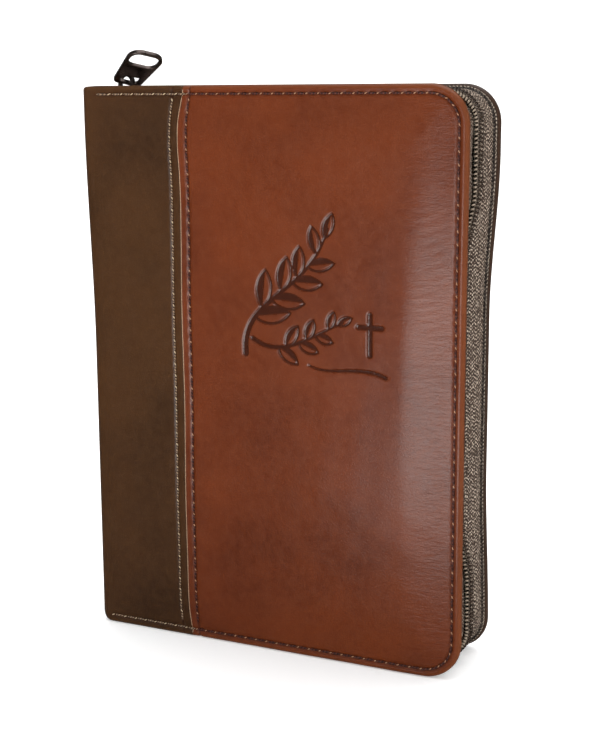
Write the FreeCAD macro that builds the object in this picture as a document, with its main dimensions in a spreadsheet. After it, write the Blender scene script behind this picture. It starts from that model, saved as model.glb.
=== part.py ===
import FreeCAD, Part
import math
import os
import re
import Sketcher
from FreeCAD import Placement, Rotation, Vector

# A small bible in a zip case: a sewn text block inside a padded two-tone cover whose zip runs round the
# top, the fore-edge and the bottom. Millimetres, +Z up. The book stands upright on its bottom edges, and
# the origin is the middle of its footprint. The fore-edge points along +X and the front cover along -Y.

SIZES = {
    # the closed book
    "cover_width": 114,
    "cover_height": 160,
    "book_thickness": 29,
    "corner_radius": 10.5,
    # the layers of a cover, from the outside in
    "leather_thickness": 1.0,
    "foam_thickness": 0.8,
    "board_thickness": 0.8,
    "lining_thickness": 0.4,
    "paste_thickness": 0.2,
    "rim_width": 1.0,
    "flap_width": 30,
    # the spine
    "spine_depth": 3,
    "joint_gap": 0.2,
    "liner_thickness": 0.6,
    "mull_thickness": 0.3,
    "tube_wall": 0.3,
    # the stitching
    "stitch_inset": 2.4,
    "stitch_pitch": 3.4,
    "stitch_length": 2.4,
    "stitch_width": 0.6,
    "thread_thickness": 0.25,
    "groove_width": 0.9,
    "groove_depth": 0.3,
    "flap_row_gap": 2.9,
    "panel_row_gap": 2.4,
    # the zip
    "tape_edge_inset": 0.4,
    "tape_wall_inset": 4.2,
    "tape_thickness": 0.4,
    "tape_opening": 2.0,
    "coil_depth": 2.0,
    "bead_inner": 1.0,
    "bead_outer": 2.9,
    "tooth_pitch": 1.5,
    "tooth_thickness": 0.5,
    "tooth_reach": 0.9,
    "stop_length": 2.0,
    # the slider
    "slider_length": 10,
    "slider_half_width": 4.6,
    "slider_start": 1.3,
    "slider_corner": 1.6,
    "plate_thickness": 1.0,
    "flange_width": 1.0,
    "slit_clearance": 0.2,
    "coil_clearance": 0.15,
    "lower_gap": 0.3,
    "wedge_length": 3.4,
    "wedge_half_width": 1.2,
    "crown_inner": 1.6,
    "crown_thickness": 1.0,
    "crown_width": 1.1,
    "crown_rise": 2.1,
    # the pull tab
    "pull_length": 16.6,
    "pull_tip_width": 11.2,
    "pull_root_width": 8.4,
    "pull_thickness": 1.2,
    "pull_tip_round": 3.6,
    "pull_root_round": 1.6,
    "pull_edge_round": 0.25,
    "eye_length": 3.1,
    "eye_width": 5.8,
    "eye_round": 0.8,
    "bar_width": 1.2,
    "window_length": 5.6,
    "window_width": 8.6,
    "window_round": 2.4,
    "window_rim": 1.2,
    "pull_lean": 30.0,
    "pull_turn": 28.5,
    "pull_roll": -13.7,
    # the text block
    "band_clearance": 0.3,
    "block_corner": 6,
    "block_spine_gap": 1.0,
    "fold_width": 4,
    "leaf_gap": 0.15,
    "cover_gap": 0.2,
    "flyleaf_thickness": 0.2,
    "section_thickness": 2.0,
    "paste_gap": 0.2,
    "band_radius": 0.5,
}

os.makedirs("parts", exist_ok=True)
doc = FreeCAD.newDocument("zip_case_bible")
sheet = doc.addObject("Spreadsheet::Sheet", "Sizes")
for row, (alias, number) in enumerate(SIZES.items(), 1):
    sheet.set(f"A{row}", alias)
    sheet.set(f"B{row}", str(number))
    sheet.setAlias(f"B{row}", alias)
doc.recompute()

FRONT, BACK = -1, 1
NODES = []

# Places worked out from the sizes. Heights along Y are measured from the middle plane of the book.
FORE_EDGE = "(cover_width / 2)"
SPINE_X = "(0 - cover_width / 2)"
HINGE_X = f"({SPINE_X} + spine_depth)"
PANEL_X = f"({HINGE_X} + joint_gap)"
SEAM_X = f"({SPINE_X} + flap_width)"
FLAP_ROW_X = f"({SEAM_X} - flap_row_gap)"
PANEL_ROW_X = f"({SEAM_X} + panel_row_gap)"
OUTER_Y = "(book_thickness / 2)"
LEATHER_Y = f"({OUTER_Y} - leather_thickness)"
FOAM_Y = f"({LEATHER_Y} - foam_thickness)"
BOARD_Y = f"({FOAM_Y} - board_thickness)"
INNER_Y = f"({BOARD_Y} - lining_thickness)"
PASTE_Y = f"({INNER_Y} - paste_thickness)"
FLYLEAF_Y = f"({PASTE_Y} - cover_gap)"
FIRST_Y = f"({FLYLEAF_Y} - flyleaf_thickness - leaf_gap)"
SECTION_STEP = "(section_thickness + leaf_gap)"
TAPE_IN = "(tape_wall_inset + tape_thickness)"
COIL_OUT = "(tape_wall_inset - coil_depth)"
PASTE_INSET = f"({TAPE_IN} + paste_gap)"
BLOCK_SPINE_X = f"({HINGE_X} + block_spine_gap)"
FOLD_X = f"({BLOCK_SPINE_X} + fold_width)"
SLIDER_X = f"({SPINE_X} + slider_start)"
SLIDER_END_X = f"({SLIDER_X} + slider_length)"
UPPER_PLATE_Z = f"(cover_height - {COIL_OUT} + coil_clearance)"
SLIDER_TOP_Z = f"({UPPER_PLATE_Z} + plate_thickness)"
LOWER_PLATE_Z = f"(cover_height - {TAPE_IN} - lower_gap - plate_thickness)"
BLOCK_INSET = f"({TAPE_IN} + lower_gap + plate_thickness + band_clearance + 2 * band_radius)"
CROWN_OUTER = "(crown_inner + crown_thickness)"
BAR_X = f"({SLIDER_X} + {CROWN_OUTER} - 0.1)"
BAR_Z = f"({SLIDER_TOP_Z} + crown_rise)"


def in_sheet(text):
    """The expression with each size's alias written as a cell of the sheet."""
    return re.sub(r"[a-z_]+", lambda word: "Sizes." + word.group(), text)


def size(text):
    """The present value of an expression of sizes."""
    return float(sheet.evalExpression(in_sheet(text)))


def keep(thing, label):
    """Names a finished sub-part and lists it among the nodes."""
    thing.Label = label
    NODES.append(thing)
    return thing


def new_body(label):
    return keep(doc.addObject("PartDesign::Body", label), label)


def sketch_on(body, name, role, level):
    """An empty sketch on one of the body's origin planes, lifted by level along the plane's normal."""
    sketch = body.newObject("Sketcher::SketchObject", name)
    plane = next(datum for datum in body.Origin.OriginFeatures if datum.Role == role)
    sketch.AttachmentSupport = [(plane, "")]
    sketch.MapMode = "FlatFace"
    sketch.setExpression("AttachmentOffset.Base.z", in_sheet(level))
    return sketch


def bind(sketch, constraint, text):
    number = sketch.addConstraint(Sketcher.Constraint(*constraint, size(text)))
    sketch.setExpression(f"Constraints[{number}]", in_sheet(text))


def draw_outline(sketch, corners):
    """Draws a closed outline of level and upright lines. Each corner is (x, y) or (x, y, radius)."""
    count = len(corners)
    points = [Vector(size(corner[0]), size(corner[1]), 0) for corner in corners]
    starts, ends, arcs, cuts = [], [], {}, []
    for i, corner in enumerate(corners):
        before = (points[i - 1] - points[i]).normalize()
        after = (points[(i + 1) % count] - points[i]).normalize()
        radius = size(corner[2]) if len(corner) > 2 else 0
        starts.append(points[i] + after * radius)
        ends.append(points[i] + before * radius)
        if radius:
            centre = points[i] + (before + after) * radius
            arcs[i] = Part.Arc(ends[i], centre - (before + after).normalize() * radius, starts[i])
            cuts.append(((i - 1) % count, 2, before, corner))
            cuts.append((i, 1, after, corner))
    lines = [sketch.addGeometry(Part.LineSegment(starts[i], ends[(i + 1) % count])) for i in range(count)]
    for i in range(count):
        level = abs(points[(i + 1) % count].y - points[i].y) < 1e-9
        sketch.addConstraint(Sketcher.Constraint("Horizontal" if level else "Vertical", lines[i]))
        if level:
            bind(sketch, ("DistanceY", -1, 1, lines[i], 1), corners[i][1])
        else:
            bind(sketch, ("DistanceX", -1, 1, lines[i], 1), corners[i][0])
    for i, end, way, (x, y, radius) in cuts:
        if abs(way.x) > 0.5:
            bind(sketch, ("DistanceX", -1, 1, lines[i], end), f"({x} + {round(way.x)} * {radius})")
        else:
            bind(sketch, ("DistanceY", -1, 1, lines[i], end), f"({y} + {round(way.y)} * {radius})")
    for i in range(count):
        if i not in arcs:
            sketch.addConstraint(Sketcher.Constraint("Coincident", lines[i - 1], 2, lines[i], 1))
            continue
        arc = sketch.addGeometry(arcs[i])
        forward = sketch.getPoint(arc, 1).distanceToPoint(ends[i]) < 1e-6
        first, last = (1, 2) if forward else (2, 1)
        sketch.addConstraint(Sketcher.Constraint("Coincident", lines[i - 1], 2, arc, first))
        sketch.addConstraint(Sketcher.Constraint("Coincident", arc, last, lines[i], 1))
        bind(sketch, ("Radius", arc), corners[i][2])


def pad(body, name, outlines, role, level, length):
    """Pads the outlines from level by length along the plane's normal."""
    sketch = sketch_on(body, name + "_outline", role, level)
    for corners in outlines:
        draw_outline(sketch, corners)
    feature = body.newObject("PartDesign::Pad", name)
    feature.Profile = sketch
    feature.setExpression("Length", in_sheet(length))
    return feature


def layer(body, name, outlines, side, near, thickness):
    """A flat layer of a cover or of the text block: from near to near + thickness off the middle plane.

    The XZ plane's normal is -Y, so a front layer starts at its near face and a back one at its far face.
    """
    level = near if side == FRONT else f"(0 - {near} - {thickness})"
    return pad(body, name, outlines, "XZ_Plane", level, thickness)


def groove(body, name, outlines, side):
    """Cuts stitch grooves into the outer face of a cover, and checks that they bite."""
    before = body.Tip.Shape.Volume if body.Tip.Shape.isValid() else 0
    sketch = sketch_on(body, name + "_outline", "XZ_Plane", OUTER_Y if side == FRONT else f"(0 - {OUTER_Y})")
    for corners in outlines:
        draw_outline(sketch, corners)
    feature = body.newObject("PartDesign::Pocket", name)
    feature.Profile = sketch
    feature.setExpression("Length", in_sheet("groove_depth"))
    feature.Reversed = side == BACK
    doc.recompute()
    if feature.Shape.Volume >= before:
        raise ValueError(f"{body.Label}: {name} cuts nothing")


def sheet_outline(inset, start, radius="corner_radius"):
    """A sheet with rounded fore-edge corners, inset from the cover's edges, from x = start."""
    curve = f"({radius} - {inset})" if radius == "corner_radius" else radius
    far, top = f"({FORE_EDGE} - {inset})", f"(cover_height - {inset})"
    return [(start, inset), (far, inset, curve), (far, top, curve), (start, top)]


def band_outline(outer, inner, start):
    """A U-shaped band along the bottom, the fore-edge and the top, between two insets."""
    outside = sheet_outline(outer, start)
    inside = sheet_outline(inner, start)
    return outside + inside[::-1]


def strip(left, right, low, high):
    return [(left, low), (right, low), (right, high), (left, high)]


def stitch_band(start):
    return band_outline("(stitch_inset - groove_width / 2)", "(stitch_inset + groove_width / 2)", start)


def stitch_strip(middle):
    return strip(f"({middle} - groove_width / 2)", f"({middle} + groove_width / 2)",
                 "stitch_inset", "(cover_height - stitch_inset)")


# --- the covers -------------------------------------------------------------------------------------

def leather_panel(label, side):
    """The tan panel: a sheet with its edges turned over, and grooves that the stitches sink into."""
    body = new_body(label)
    layer(body, "face", [sheet_outline("0", SEAM_X)], side, LEATHER_Y, "leather_thickness")
    layer(body, "turned_edge", [band_outline("0", "rim_width", SEAM_X)], side, INNER_Y,
          f"({LEATHER_Y} - {INNER_Y})")
    doc.recompute()
    groove(body, "edge_groove", [stitch_band(SEAM_X)], side)
    groove(body, "seam_groove", [stitch_strip(PANEL_ROW_X)], side)


def spine_flap(label, side):
    """The dark flap that carries the spine's leather on to the cover, as far as the colour seam."""
    body = new_body(label)
    top_rim, seam_end = "(cover_height - rim_width)", SEAM_X
    layer(body, "face", [strip(PANEL_X, seam_end, "0", "cover_height")], side, LEATHER_Y,
          "leather_thickness")
    rims = [strip(PANEL_X, seam_end, "0", "rim_width"), strip(PANEL_X, seam_end, top_rim, "cover_height")]
    layer(body, "turned_edge", rims, side, INNER_Y, f"({LEATHER_Y} - {INNER_Y})")
    doc.recompute()
    low, high = "(stitch_inset - groove_width / 2)", "(stitch_inset + groove_width / 2)"
    rows = [strip(PANEL_X, seam_end, low, high),
            strip(PANEL_X, seam_end, f"(cover_height - {high})", f"(cover_height - {low})")]
    groove(body, "edge_groove", rows, side)
    groove(body, "seam_groove", [stitch_strip(FLAP_ROW_X)], side)


def cover_layers(name, side):
    """The foam, board, lining and pastedown inside a cover."""
    stack = [("foam_pad", FOAM_Y, "foam_thickness", "rim_width"),
             ("board", BOARD_Y, "board_thickness", "rim_width"),
             ("lining", INNER_Y, "lining_thickness", "rim_width"),
             ("pastedown", PASTE_Y, "paste_thickness", PASTE_INSET)]
    for part_name, near, thickness, inset in stack:
        body = new_body(f"{name}_{part_name}")
        layer(body, "sheet", [sheet_outline(inset, PANEL_X)], side, near, thickness)


def zip_tape(label, side):
    """The woven tape: a flange glued inside the cover's edge and a wall that stands up to the coil."""
    body = new_body(label)
    layer(body, "flange", [band_outline("tape_edge_inset", TAPE_IN, PANEL_X)], side,
          f"({INNER_Y} - tape_thickness)", "tape_thickness")
    layer(body, "wall", [band_outline("tape_wall_inset", TAPE_IN, PANEL_X)], side,
          "tape_opening", f"({INNER_Y} - tape_opening)")


# --- what repeats along the edges ---------------------------------------------------------------------

def edge_places(inset, start_bottom, start_top, pitch, phase=0.0):
    """Places along the bottom, the fore-edge and the top: the distance between them is near to pitch.

    Gives (point, angle) pairs, where the angle turns +X on to the direction of travel in the XZ plane.
    """
    edge, top = size(f"{FORE_EDGE} - {inset}"), size(f"cover_height - {inset}")
    low, bend = size(inset), size(f"corner_radius - {inset}")
    runs = [edge - bend - start_bottom, bend * math.pi / 2, top - low - 2 * bend,
            bend * math.pi / 2, edge - bend - start_top]
    count = int(sum(runs) / pitch)
    step = sum(runs) / count
    places = []
    for i in range(count):
        along = (i + 0.5 + phase) * step
        if along < runs[0]:
            places.append((Vector(start_bottom + along, 0, low), 0.0))
            continue
        along -= runs[0]
        if along < runs[1]:
            turn = along / bend
            places.append((Vector(edge - bend + bend * math.sin(turn), 0,
                                  low + bend - bend * math.cos(turn)), math.degrees(turn)))
            continue
        along -= runs[1]
        if along < runs[2]:
            places.append((Vector(edge, 0, low + bend + along), 90.0))
            continue
        along -= runs[2]
        if along < runs[3]:
            turn = along / bend
            places.append((Vector(edge - bend + bend * math.cos(turn), 0,
                                  top - bend + bend * math.sin(turn)), 90 + math.degrees(turn)))
            continue
        along -= runs[3]
        places.append((Vector(edge - bend - along, 0, top), 180.0))
    return places


def stitch(place, angle, side):
    """One stitch: a flat bar lying in its groove, below the face of the leather."""
    length, width, thick = size("stitch_length"), size("stitch_width"), size("thread_thickness")
    floor = size(f"{OUTER_Y} - groove_depth")
    bar = Part.makeBox(length, thick, width, Vector(-length / 2, 0, -width / 2))
    bar.Placement = Placement(Vector(place.x, floor if side == BACK else -floor - thick, place.z),
                              Rotation(Vector(0, -1, 0), angle))
    return bar


def thread(label, bars):
    feature = doc.addObject("Part::Feature", label)
    feature.Shape = Part.makeCompound(bars)
    keep(feature, label)


def cover_threads(name, side):
    start = size(PANEL_X)
    edge = edge_places("stitch_inset", start, start, size("stitch_pitch"))
    thread(f"{name}_edge_thread", [stitch(place, angle, side) for place, angle in edge])
    low, high = size("2 * stitch_inset"), size("cover_height - 2 * stitch_inset")
    count = int((high - low) / size("stitch_pitch"))
    step = (high - low) / count
    rows = [size(FLAP_ROW_X), size(PANEL_ROW_X)]
    bars = [stitch(Vector(x, 0, low + (i + 0.5) * step), 90, side) for x in rows for i in range(count)]
    thread(f"{name}_seam_thread", bars)
    body = new_body(f"{name}_bobbin_thread")
    row = band_outline("(stitch_inset - stitch_width / 2)", "(stitch_inset + stitch_width / 2)", PANEL_X)
    layer(body, "line", [row], side, f"({INNER_Y} - tape_thickness - thread_thickness)",
          "thread_thickness")


def zip_coil(label, side):
    """One row of the coil: a bead along the tape's edge, and the loops that reach past the middle."""
    inset_out, inset_in = COIL_OUT, "tape_wall_inset"
    depth, thick = size("coil_depth"), size("tooth_thickness")
    reach, near, far = size("tooth_reach"), size("bead_inner"), size("bead_outer")
    start_bottom = size(f"{PANEL_X} + stop_length + coil_clearance")
    start_top = size(f"{SLIDER_END_X} + coil_clearance")
    rows = doc.addObject("PartDesign::Body", label + "_bead")
    layer(rows, "bead", [band_outline(inset_out, inset_in, PANEL_X)], side, "bead_inner",
          "(bead_outer - bead_inner)")
    doc.recompute()
    bead = rows.Shape.copy()
    low, top = size(inset_out), size(f"cover_height - {inset_in}")
    left = size(PANEL_X) - 1
    bead = bead.cut(Part.makeBox(start_bottom - left, 4 * far, depth, Vector(left, -2 * far, low)))
    bead = bead.cut(Part.makeBox(start_top - left, 4 * far, depth, Vector(left, -2 * far, top)))
    middle = f"({COIL_OUT} + coil_depth / 2)"
    phase = 0.25 if side == FRONT else -0.25
    length = near + reach + 0.1
    teeth = []
    for place, angle in edge_places(middle, start_bottom, start_top, size("tooth_pitch"), phase):
        tooth = Part.makeBox(thick, length, depth, Vector(-thick / 2, 0, -depth / 2))
        base_y = -reach if side == BACK else reach - length
        tooth.Placement = Placement(Vector(place.x, base_y, place.z), Rotation(Vector(0, -1, 0), angle))
        teeth.append(tooth)
    for feature in list(rows.Group):
        rows.removeObject(feature)
        doc.removeObject(feature.Name)
    doc.removeObject(rows.Name)
    row = doc.addObject("Part::Feature", label)
    row.Shape = bead.multiFuse(teeth)
    keep(row, label)


# --- the spine and the text block -----------------------------------------------------------------------

def spine_leather():
    """The dark leather round the spine, open towards the pages."""
    body = new_body("spine_leather")
    inside = f"({SPINE_X} + leather_thickness)"
    inner_round = "(spine_depth - leather_thickness - 0.05)"
    outer_round = "(spine_depth - 0.05)"
    outline = [(HINGE_X, f"(0 - {OUTER_Y})"), (HINGE_X, f"(0 - {LEATHER_Y})"),
               (inside, f"(0 - {LEATHER_Y})", inner_round), (inside, LEATHER_Y, inner_round),
               (HINGE_X, LEATHER_Y), (HINGE_X, OUTER_Y),
               (SPINE_X, OUTER_Y, outer_round), (SPINE_X, f"(0 - {OUTER_Y})", outer_round)]
    pad(body, "wrap", [outline], "XY_Plane", "0", "cover_height")


def upright_slab(label, left, right, half_width):
    """A slab behind the text block's spine, as tall as the block."""
    body = new_body(label)
    pad(body, "slab", [strip(left, right, f"(0 - {half_width})", half_width)], "XY_Plane",
        BLOCK_INSET, f"(cover_height - 2 * {BLOCK_INSET})")
    return body


def spine_fittings():
    """The card liner on the leather, the gauze on the block and the hollow paper tube between them."""
    liner_face = f"({SPINE_X} + leather_thickness + liner_thickness)"
    mull_face = f"({BLOCK_SPINE_X} - mull_thickness)"
    upright_slab("spine_liner", f"({SPINE_X} + leather_thickness)", liner_face, INNER_Y)
    upright_slab("mull", mull_face, BLOCK_SPINE_X, f"({FLYLEAF_Y} - flyleaf_thickness)")
    half = f"({FLYLEAF_Y} - 2 * flyleaf_thickness)"
    tube = new_body("hollow_tube")
    inner_half = f"({half} - tube_wall)"
    ring = [strip(liner_face, mull_face, f"(0 - {half})", half),
            strip(f"({liner_face} + tube_wall)", f"({mull_face} - tube_wall)",
                  f"(0 - {inner_half})", inner_half)]
    pad(tube, "tube", ring, "XY_Plane", BLOCK_INSET, f"(cover_height - 2 * {BLOCK_INSET})")


def section_face(number):
    """How far off the middle plane the outer face of a section lies, counted from the cover."""
    return f"({FIRST_Y} - {number} * {SECTION_STEP})"


def page_block():
    """The leaves that lie still, between the third front section and the last section."""
    body = new_body("page_block")
    front, back = section_face(3), section_face(1)
    leaves = sheet_outline(BLOCK_INSET, BLOCK_SPINE_X, "block_corner")
    pad(body, "leaves", [leaves], "XZ_Plane", f"(0 - {back})", f"({front} + {back})")


def section_folds():
    """The folded backs of the sections whose leaves turn: one strip for each section."""
    outline = strip(BLOCK_SPINE_X, FOLD_X, BLOCK_INSET, f"(cover_height - {BLOCK_INSET})")
    folds = []
    for side, numbers in ((FRONT, (0, 1, 2)), (BACK, (0,))):
        for number in numbers:
            body = doc.addObject("PartDesign::Body", f"fold_{len(folds)}")
            layer(body, "fold", [outline], side, section_face(number + 1), SECTION_STEP)
            folds.append(body)
    group = doc.addObject("Part::Compound", "section_folds")
    group.Links = folds
    keep(group, "section_folds")


def leaf(label, side, outer, thickness):
    """Leaves that turn about the outer corner of their fold."""
    body = new_body(label)
    outline = sheet_outline(BLOCK_INSET, FOLD_X, "block_corner")
    layer(body, "leaves", [outline], side, f"({outer} - {thickness})", thickness)


def end_band(label, height):
    """A woven bead across the end of the text block's spine."""
    length = f"({section_face(3)} + {section_face(1)})"
    bead = doc.addObject("Part::Cylinder", label)
    bead.setExpression("Radius", in_sheet("band_radius"))
    bead.setExpression("Height", in_sheet(length))
    bead.Placement = Placement(Vector(0, 0, 0), Rotation(Vector(1, 0, 0), -90))
    bead.setExpression("Placement.Base.x", in_sheet(f"({BLOCK_SPINE_X} + band_radius)"))
    bead.setExpression("Placement.Base.y", in_sheet(f"(0 - {section_face(3)})"))
    bead.setExpression("Placement.Base.z", in_sheet(height))
    keep(bead, label)


# --- the slider -----------------------------------------------------------------------------------------

def block(name, low, high):
    """A box between two corners given as expressions."""
    box = doc.addObject("Part::Box", name)
    for axis, sized, start, end in zip("xyz", ("Length", "Width", "Height"), low, high):
        box.setExpression(sized, in_sheet(f"({end}) - ({start})"))
        box.setExpression(f"Placement.Base.{axis}", in_sheet(f"({start})"))
    return box


def rounded_block(name, low, high, radius):
    """A box whose upright edges are rounded."""
    box = block(name + "_box", low, high)
    doc.recompute()
    rounded = doc.addObject("Part::Fillet", name)
    rounded.Base = box
    upright = [number for number, edge in enumerate(box.Shape.Edges, 1)
               if abs(edge.tangentAt(edge.FirstParameter).z) > 0.99]
    rounded.Edges = [(number, size(radius), size(radius)) for number in upright]
    return rounded


def slider_body():
    """Two plates joined by the wedge that parts the rows, with flanges that close on the coil."""
    wide = "slider_half_width"
    flange_y = f"({wide} - flange_width)"
    start, end = SLIDER_X, SLIDER_END_X
    tape_top = "(cover_height - tape_wall_inset)"
    tape_low = f"(cover_height - {TAPE_IN})"
    pieces = [
        rounded_block("upper_plate", (start, f"0 - {wide}", UPPER_PLATE_Z), (end, wide, SLIDER_TOP_Z),
                      "slider_corner"),
        rounded_block("lower_plate", (start, f"0 - {wide}", LOWER_PLATE_Z),
                      (end, wide, f"{LOWER_PLATE_Z} + plate_thickness"), "slider_corner"),
        block("wedge", (f"{start} + 0.4", "0 - wedge_half_width", f"{LOWER_PLATE_Z} + plate_thickness"),
              (f"{start} + wedge_length", "wedge_half_width", UPPER_PLATE_Z)),
    ]
    front, rear = f"{start} + slider_corner", f"{end} - slider_corner"
    for side, near, far in ((FRONT, f"0 - {wide}", f"0 - {flange_y}"), (BACK, flange_y, wide)):
        pieces.append(block(f"upper_flange_{side + 1}", (front, near, f"{tape_top} + slit_clearance"),
                            (rear, far, UPPER_PLATE_Z)))
        pieces.append(block(f"lower_flange_{side + 1}",
                            (front, near, f"{LOWER_PLATE_Z} + plate_thickness"),
                            (rear, far, f"{tape_low} - slit_clearance")))
    fused = doc.addObject("Part::MultiFuse", "slider_body")
    fused.Shapes = pieces
    keep(fused, "slider_body")


def slider_crown():
    """The loop on the slider's upper plate that the pull's bar hangs in."""
    body = new_body("slider_crown")
    outer_top, inner_top = f"({BAR_Z} + {CROWN_OUTER})", f"({BAR_Z} + crown_inner)"
    outer_round, inner_round = f"({CROWN_OUTER} - 0.1)", "(crown_inner - 0.1)"
    left, right = f"({BAR_X} - {CROWN_OUTER})", f"({BAR_X} + {CROWN_OUTER})"
    inner_left, inner_right = f"({BAR_X} - crown_inner)", f"({BAR_X} + crown_inner)"
    arch = [(left, SLIDER_TOP_Z), (inner_left, SLIDER_TOP_Z), (inner_left, inner_top, inner_round),
            (inner_right, inner_top, inner_round), (inner_right, SLIDER_TOP_Z), (right, SLIDER_TOP_Z),
            (right, outer_top, outer_round), (left, outer_top, outer_round)]
    pad(body, "arch", [arch], "XZ_Plane", "(0 - crown_width / 2)", "crown_width")


def pull_tab():
    """The tapered pull: an eye at its root for the crown, and an oval window near its tip.

    It is drawn flat about its bar, its length along X and its width along Y, and then leaned over.
    """
    body = new_body("pull_tab")
    root, tip = "(0 - bar_width / 2)", "(pull_length - bar_width / 2)"
    sketch = sketch_on(body, "outline", "XY_Plane", "(0 - pull_thickness / 2)")
    corners = [(root, "(0 - pull_root_width / 2)"), (tip, "(0 - pull_tip_width / 2)"),
               (tip, "(pull_tip_width / 2)"), (root, "(pull_root_width / 2)")]
    points = [Vector(size(x), size(y), 0) for x, y in corners]
    for i in range(len(points)):
        sketch.addGeometry(Part.LineSegment(points[i], points[(i + 1) % 4]))
    for i, (x, y) in enumerate(corners):
        sketch.addConstraint(Sketcher.Constraint("Coincident", (i - 1) % 4, 2, i, 1))
        bind(sketch, ("DistanceX", -1, 1, i, 1), x)
        bind(sketch, ("DistanceY", -1, 1, i, 1), y)
    plate = body.newObject("PartDesign::Pad", "plate")
    plate.Profile = sketch
    plate.setExpression("Length", in_sheet("pull_thickness"))
    doc.recompute()
    feature = plate
    for name, radius, place in (("tip_round", "pull_tip_round", tip),
                                ("root_round", "pull_root_round", root)):
        corner_x = size(place)
        edges = [f"Edge{number}" for number, edge in enumerate(feature.Shape.Edges, 1)
                 if abs(edge.tangentAt(edge.FirstParameter).z) > 0.99
                 and abs(edge.CenterOfMass.x - corner_x) < 1e-6]
        rounded = body.newObject("PartDesign::Fillet", name)
        rounded.Base = (feature, edges)
        rounded.setExpression("Radius", in_sheet(radius))
        doc.recompute()
        feature = rounded
    eye_start = "(bar_width / 2)"
    eye_end = f"({eye_start} + eye_length)"
    window_end = f"({tip} - window_rim)"
    window_start = f"({window_end} - window_length)"
    openings = [(eye_start, eye_end, "(eye_width / 2)", "eye_round"),
                (window_start, window_end, "(window_width / 2)", "window_round")]
    cut = sketch_on(body, "openings_outline", "XY_Plane", "(pull_thickness / 2)")
    for left, right, half, curve in openings:
        draw_outline(cut, [(left, f"(0 - {half})", curve), (right, f"(0 - {half})", curve),
                           (right, half, curve), (left, half, curve)])
    before = feature.Shape.Volume
    pocket = body.newObject("PartDesign::Pocket", "openings")
    pocket.Profile = cut
    pocket.setExpression("Length", in_sheet("pull_thickness"))
    doc.recompute()
    if pocket.Shape.Volume >= before:
        raise ValueError("pull_tab: the openings cut nothing")
    flat = [f"Edge{number}" for number, edge in enumerate(pocket.Shape.Edges, 1)
            if abs(abs(edge.CenterOfMass.z) - size("pull_thickness / 2")) < 1e-6]
    soft = body.newObject("PartDesign::Fillet", "soft_edges")
    soft.Base = (pocket, flat)
    soft.setExpression("Radius", in_sheet("pull_edge_round"))
    doc.recompute()
    lean, turn, roll = size("pull_lean"), size("pull_turn"), size("pull_roll")
    body.Placement = Placement(Vector(size(BAR_X), 0, size(BAR_Z)), Rotation(-turn, -lean, roll))


def bottom_stop():
    """The clamp at the spine end of the bottom run."""
    low, high = COIL_OUT, "tape_wall_inset"
    half = "(bead_outer + 0.1)"
    clamp = block("bottom_stop", (PANEL_X, f"0 - {half}", low), (f"{PANEL_X} + stop_length", half, high))
    keep(clamp, "bottom_stop")


for cover, facing in (("front", FRONT), ("back", BACK)):
    leather_panel(f"{cover}_leather_panel", facing)
    spine_flap(f"{cover}_spine_flap", facing)
    cover_layers(cover, facing)
    zip_tape(f"{cover}_zip_tape", facing)
    zip_coil(f"{cover}_zip_coil", facing)
    cover_threads(cover, facing)
    leaf(f"{cover}_flyleaf", facing, FLYLEAF_Y, "flyleaf_thickness")
spine_leather()
spine_fittings()
page_block()
section_folds()
for number, label in enumerate(("first_section", "second_section", "third_section")):
    leaf(label, FRONT, section_face(number), "section_thickness")
leaf("last_section", BACK, section_face(0), "section_thickness")
end_band("headband", f"(cover_height - {BLOCK_INSET} + band_radius)")
end_band("tailband", f"({BLOCK_INSET} - band_radius)")
slider_body()
slider_crown()
pull_tab()
bottom_stop()

doc.recompute()
for thing in doc.Objects:
    if "Invalid" in thing.State or "Error" in thing.State:
        raise ValueError(f"{thing.Label}: {thing.State}")
for node in NODES:
    if node.Shape.isNull() or not node.Shape.isValid():
        raise ValueError(f"{node.Label}: no valid shape")
for node in NODES:
    node.Shape.exportStep(f"parts/{node.Label}.step")
print(len(NODES), "nodes")
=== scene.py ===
"""Looks for a zip-closed leather Bible case: padded covers, a darker spine, a coil zip and the pages."""
import math

import bpy
import numpy as np
from mathutils import Matrix, Vector


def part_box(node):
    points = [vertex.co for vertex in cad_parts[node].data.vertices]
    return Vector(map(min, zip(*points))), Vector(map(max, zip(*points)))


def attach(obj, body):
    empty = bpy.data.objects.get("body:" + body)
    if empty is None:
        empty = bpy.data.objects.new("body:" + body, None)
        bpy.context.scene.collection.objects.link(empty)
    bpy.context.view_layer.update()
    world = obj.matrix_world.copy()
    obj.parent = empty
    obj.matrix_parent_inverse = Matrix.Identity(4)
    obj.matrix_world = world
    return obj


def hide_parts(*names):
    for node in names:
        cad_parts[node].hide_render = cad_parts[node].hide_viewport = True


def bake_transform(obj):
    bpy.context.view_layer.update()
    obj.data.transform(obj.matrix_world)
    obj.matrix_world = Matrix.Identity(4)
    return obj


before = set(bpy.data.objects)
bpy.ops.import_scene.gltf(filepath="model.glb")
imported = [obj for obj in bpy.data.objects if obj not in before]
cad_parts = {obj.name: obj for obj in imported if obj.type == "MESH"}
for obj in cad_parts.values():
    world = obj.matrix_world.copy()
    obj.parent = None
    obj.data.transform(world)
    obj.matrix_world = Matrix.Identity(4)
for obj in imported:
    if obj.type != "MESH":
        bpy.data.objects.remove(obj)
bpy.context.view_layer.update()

MM = 0.001


# ---------------------------------------------------------------- camera

CAMERA_PLACE = (178.55, -363.75, 157.82)
LOOKS_LEFT, LOOKS_DOWN, LEANS = 25.817, 10.717, -0.297
LENS = 71


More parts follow.
